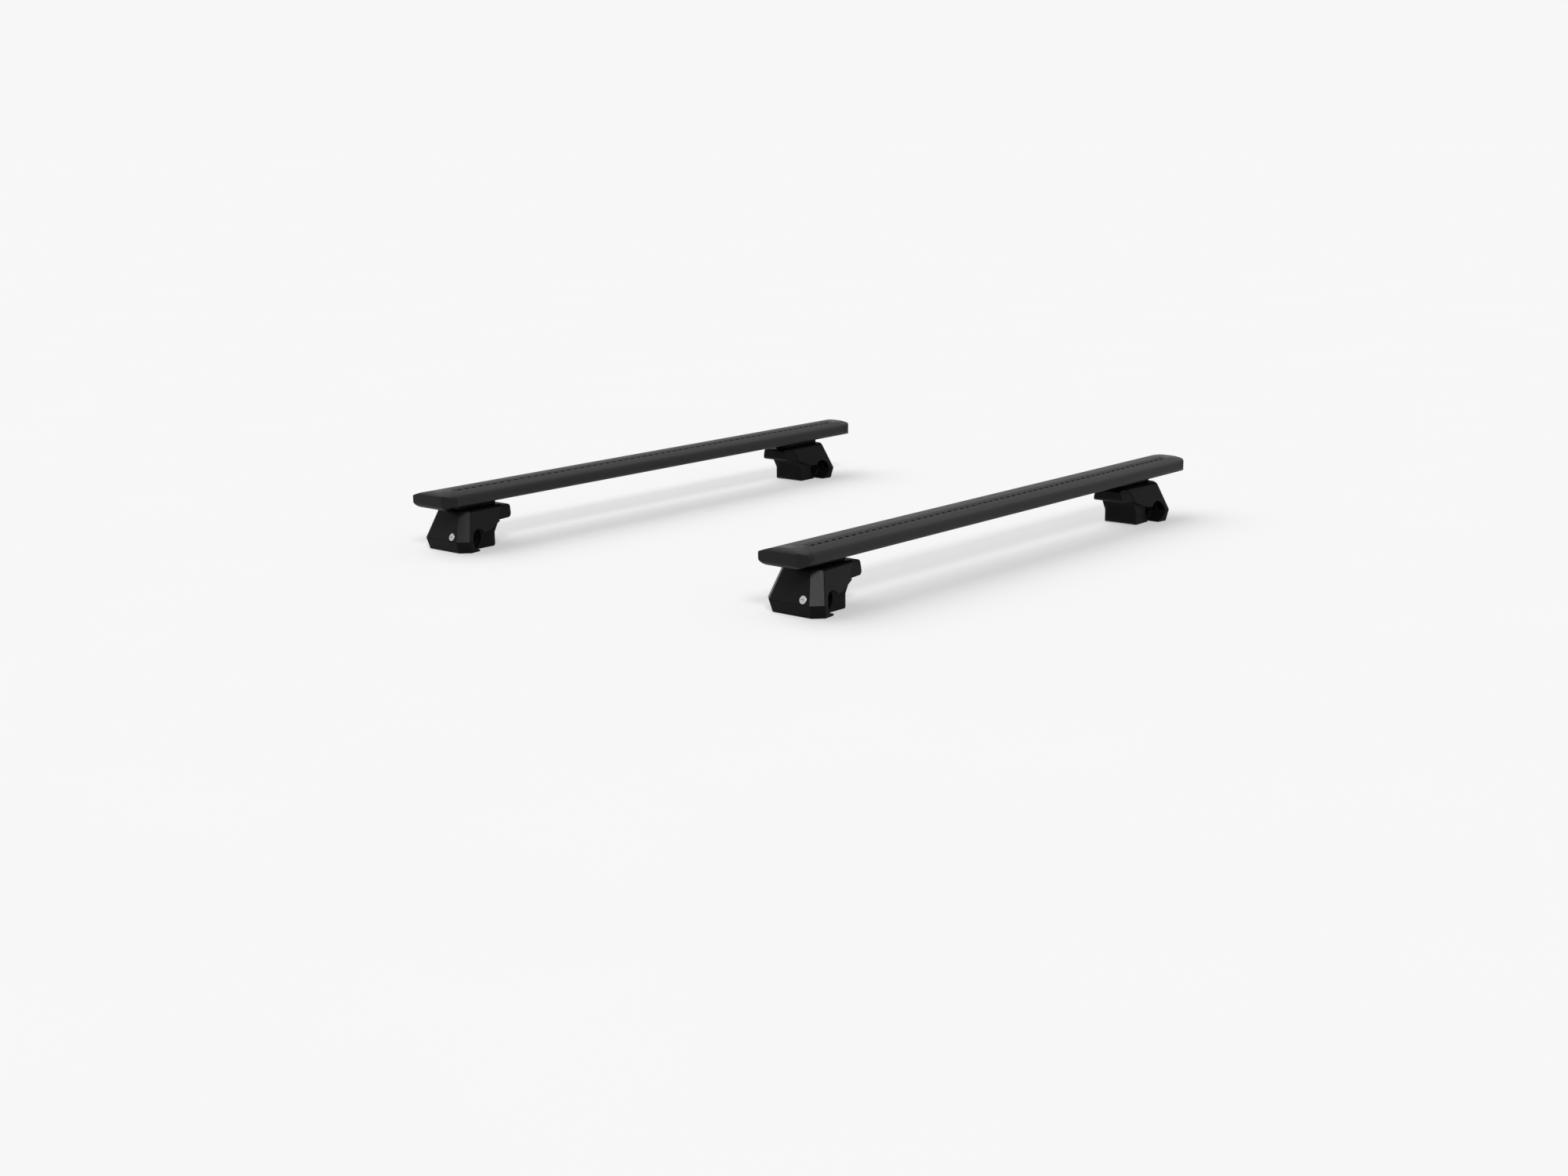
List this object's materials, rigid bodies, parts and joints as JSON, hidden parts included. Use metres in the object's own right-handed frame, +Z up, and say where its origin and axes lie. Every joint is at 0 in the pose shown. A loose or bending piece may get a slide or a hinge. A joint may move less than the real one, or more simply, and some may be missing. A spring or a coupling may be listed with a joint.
{
  "type": "pair of roof cross bars",
  "caption": "Pair of black wing-section cross bars with rubber strips and end caps, each on clamp feet with lockable covers that grip a round tube.",
  "frame": {"origin": "on the ground under the middle of the four feet", "axes": "+X along the bars, +Y from the front bar to the rear bar, +Z up; the bars' noses face -Y"},
  "size_m": [1.08, 0.8892, 0.1085],
  "materials": {
    "bar": "satin black coating",
    "strip": "matte",
    "cap": "fine grain",
    "foot": "black coated casting",
    "cover": "fine grain",
    "pad": "matte",
    "saddle": "matte",
    "steel": "zinc plated",
    "lock": "satin"
  },
  "bodies": {
    "bars": {"front_bar": "bar", "front_strip": "strip", "front_left_cap": "cap", "front_right_cap": "cap", "rear_bar": "bar", "rear_strip": "strip", "rear_left_cap": "cap", "rear_right_cap": "cap"},
    "front_right_foot": {"front_right_foot": "foot", "front_right_saddle": "saddle", "front_right_slot_nut": "steel", "front_right_slot_bolts": "steel", "front_right_claw_pad": "pad"},
    "front_right_jaw": {"front_right_jaw": "foot", "front_right_jaw_pad": "pad", "front_right_jaw_nut": "steel"},
    "front_right_screw": {"front_right_screw": "steel", "front_right_washer": "steel"},
    "front_right_cover": {"front_right_cover": "cover"},
    "front_right_lock": {"front_right_lock": "lock", "front_right_lock_cam": "steel"},
    "front_left_foot": {"front_left_foot": "foot", "front_left_saddle": "saddle", "front_left_slot_nut": "steel", "front_left_slot_bolts": "steel", "front_left_claw_pad": "pad"},
    "front_left_jaw": {"front_left_jaw": "foot", "front_left_jaw_pad": "pad", "front_left_jaw_nut": "steel"},
    "front_left_screw": {"front_left_screw": "steel", "front_left_washer": "steel"},
    "front_left_cover": {"front_left_cover": "cover"},
    "front_left_lock": {"front_left_lock": "lock", "front_left_lock_cam": "steel"},
    "rear_right_foot": {"rear_right_foot": "foot", "rear_right_saddle": "saddle", "rear_right_slot_nut": "steel", "rear_right_slot_bolts": "steel", "rear_right_claw_pad": "pad"},
    "rear_right_jaw": {"rear_right_jaw": "foot", "rear_right_jaw_pad": "pad", "rear_right_jaw_nut": "steel"},
    "rear_right_screw": {"rear_right_screw": "steel", "rear_right_washer": "steel"},
    "rear_right_cover": {"rear_right_cover": "cover"},
    "rear_right_lock": {"rear_right_lock": "lock", "rear_right_lock_cam": "steel"},
    "rear_left_foot": {"rear_left_foot": "foot", "rear_left_saddle": "saddle", "rear_left_slot_nut": "steel", "rear_left_slot_bolts": "steel", "rear_left_claw_pad": "pad"},
    "rear_left_jaw": {"rear_left_jaw": "foot", "rear_left_jaw_pad": "pad", "rear_left_jaw_nut": "steel"},
    "rear_left_screw": {"rear_left_screw": "steel", "rear_left_washer": "steel"},
    "rear_left_cover": {"rear_left_cover": "cover"},
    "rear_left_lock": {"rear_left_lock": "lock", "rear_left_lock_cam": "steel"}
  },
  "joints": [
    {"name": "front_right_foot_slide", "type": "slide", "parent": "bars", "child": "front_right_foot", "axis": [1, 0, 0], "range_m": [-0.03, 0.12]},
    {"name": "front_right_screw_turn", "type": "hinge", "parent": "front_right_foot", "child": "front_right_screw", "pos_m": [-0.467, -0.39, 0.052], "axis": [-1, 0, 0], "range_deg": [0, 4608]},
    {"name": "front_right_jaw_slide", "type": "slide", "parent": "front_right_foot", "child": "front_right_jaw", "axis": [1, 0, 0], "range_m": [0, 0.016]},
    {"name": "front_right_cover_slide", "type": "slide", "parent": "front_right_foot", "child": "front_right_cover", "axis": [-1, 0, 0], "range_m": [0, 0.045]},
    {"name": "front_right_lock_turn", "type": "hinge", "parent": "front_right_cover", "child": "front_right_lock", "pos_m": [-0.50696, -0.414, 0.0276], "axis": [0.9285, 0, -0.3714], "range_deg": [0, 90]},
    {"name": "front_left_foot_slide", "type": "slide", "parent": "bars", "child": "front_left_foot", "axis": [-1, 0, 0], "range_m": [-0.03, 0.12]},
    {"name": "front_left_screw_turn", "type": "hinge", "parent": "front_left_foot", "child": "front_left_screw", "pos_m": [0.449, -0.39, 0.052], "axis": [1, 0, 0], "range_deg": [0, 4608]},
    {"name": "front_left_jaw_slide", "type": "slide", "parent": "front_left_foot", "child": "front_left_jaw", "axis": [-1, 0, 0], "range_m": [0, 0.016]},
    {"name": "front_left_cover_slide", "type": "slide", "parent": "front_left_foot", "child": "front_left_cover", "axis": [1, 0, 0], "range_m": [0, 0.045]},
    {"name": "front_left_lock_turn", "type": "hinge", "parent": "front_left_cover", "child": "front_left_lock", "pos_m": [0.48896, -0.366, 0.0276], "axis": [-0.9285, 0, -0.3714], "range_deg": [0, 90]},
    {"name": "rear_right_foot_slide", "type": "slide", "parent": "bars", "child": "rear_right_foot", "axis": [1, 0, 0], "range_m": [-0.03, 0.12]},
    {"name": "rear_right_screw_turn", "type": "hinge", "parent": "rear_right_foot", "child": "rear_right_screw", "pos_m": [-0.467, 0.39, 0.052], "axis": [-1, 0, 0], "range_deg": [0, 4608]},
    {"name": "rear_right_jaw_slide", "type": "slide", "parent": "rear_right_foot", "child": "rear_right_jaw", "axis": [1, 0, 0], "range_m": [0, 0.016]},
    {"name": "rear_right_cover_slide", "type": "slide", "parent": "rear_right_foot", "child": "rear_right_cover", "axis": [-1, 0, 0], "range_m": [0, 0.045]},
    {"name": "rear_right_lock_turn", "type": "hinge", "parent": "rear_right_cover", "child": "rear_right_lock", "pos_m": [-0.50696, 0.366, 0.0276], "axis": [0.9285, 0, -0.3714], "range_deg": [0, 90]},
    {"name": "rear_left_foot_slide", "type": "slide", "parent": "bars", "child": "rear_left_foot", "axis": [-1, 0, 0], "range_m": [-0.03, 0.12]},
    {"name": "rear_left_screw_turn", "type": "hinge", "parent": "rear_left_foot", "child": "rear_left_screw", "pos_m": [0.449, 0.39, 0.052], "axis": [1, 0, 0], "range_deg": [0, 4608]},
    {"name": "rear_left_jaw_slide", "type": "slide", "parent": "rear_left_foot", "child": "rear_left_jaw", "axis": [-1, 0, 0], "range_m": [0, 0.016]},
    {"name": "rear_left_cover_slide", "type": "slide", "parent": "rear_left_foot", "child": "rear_left_cover", "axis": [1, 0, 0], "range_m": [0, 0.045]},
    {"name": "rear_left_lock_turn", "type": "hinge", "parent": "rear_left_cover", "child": "rear_left_lock", "pos_m": [0.48896, 0.414, 0.0276], "axis": [-0.9285, 0, -0.3714], "range_deg": [0, 90]}
  ],
  "couplings": [
    {"joint": "front_right_screw_turn", "follows": "front_right_jaw_slide", "rad_per_m": 5026.5},
    {"joint": "front_left_screw_turn", "follows": "front_left_jaw_slide", "rad_per_m": 5026.5},
    {"joint": "rear_right_screw_turn", "follows": "rear_right_jaw_slide", "rad_per_m": 5026.5},
    {"joint": "rear_left_screw_turn", "follows": "rear_left_jaw_slide", "rad_per_m": 5026.5}
  ]
}
